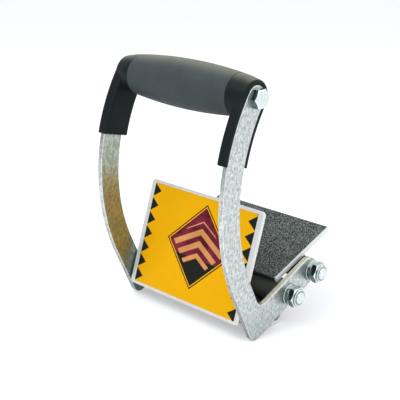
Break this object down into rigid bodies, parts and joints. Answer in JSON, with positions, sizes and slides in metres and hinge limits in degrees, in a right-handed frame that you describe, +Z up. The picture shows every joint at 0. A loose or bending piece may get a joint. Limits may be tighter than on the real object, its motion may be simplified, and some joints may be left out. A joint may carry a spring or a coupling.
{
  "type": "panel carrier",
  "caption": "Hand-held board carrier with bowed side arms, a cross grip and swinging padded jaws that pinch the edge of a sheet.",
  "frame": {"origin": "on the floor, midway between the lowest points of the two arms' round tips", "axes": "+X along the grip towards the nuts, +Y to the rear jaw, away from the label, +Z up"},
  "size_m": [0.1953, 0.1715, 0.2614],
  "materials": {
    "cast_metal": "tumbled casting",
    "jaw_metal": "mill finish",
    "core_steel": "plain turned",
    "zinc": "bright zinc plate",
    "grip_rubber": "soft matt",
    "grip_plastic": "matt moulding",
    "black_plastic": "matt moulding",
    "bumper": "soft matt",
    "pad": "gritted",
    "label": "printed film",
    "bush": "plain moulding",
    "insert": "plain moulding"
  },
  "bodies": {
    "frame": {"left_arm": "cast_metal", "right_arm": "cast_metal", "grip_core": "core_steel", "grip_sleeve": "grip_rubber", "left_grip_end": "grip_plastic", "right_grip_end": "grip_plastic", "left_grip_bolt": "zinc", "right_grip_bolt": "zinc", "lower_bolt": "zinc", "upper_bolt": "zinc", "lower_lock_nut": "zinc", "upper_lock_nut": "zinc", "nut_inserts": "insert", "nut_washers": "zinc", "lower_spacer": "core_steel", "upper_spacer": "core_steel", "stop_sleeve": "bumper", "pivot_rod": "core_steel"},
    "front_jaw": {"front_jaw": "jaw_metal", "front_label": "label", "front_pad": "pad", "front_bushes": "bush"},
    "rear_jaw": {"rear_plate": "jaw_metal", "rear_pad": "pad", "hinge_block": "black_plastic", "hinge_bushes": "bush", "hinge_screws": "zinc"}
  },
  "joints": [
    {"name": "front_jaw_hinge", "type": "hinge", "parent": "frame", "child": "front_jaw", "pos_m": [0, 0.02002, 0.01712], "axis": [1, 0, 0], "range_deg": [-26, 0]},
    {"name": "rear_jaw_hinge", "type": "hinge", "parent": "frame", "child": "rear_jaw", "pos_m": [0, 0.0477, 0.03297], "axis": [1, 0, 0], "range_deg": [0, 26]}
  ]
}
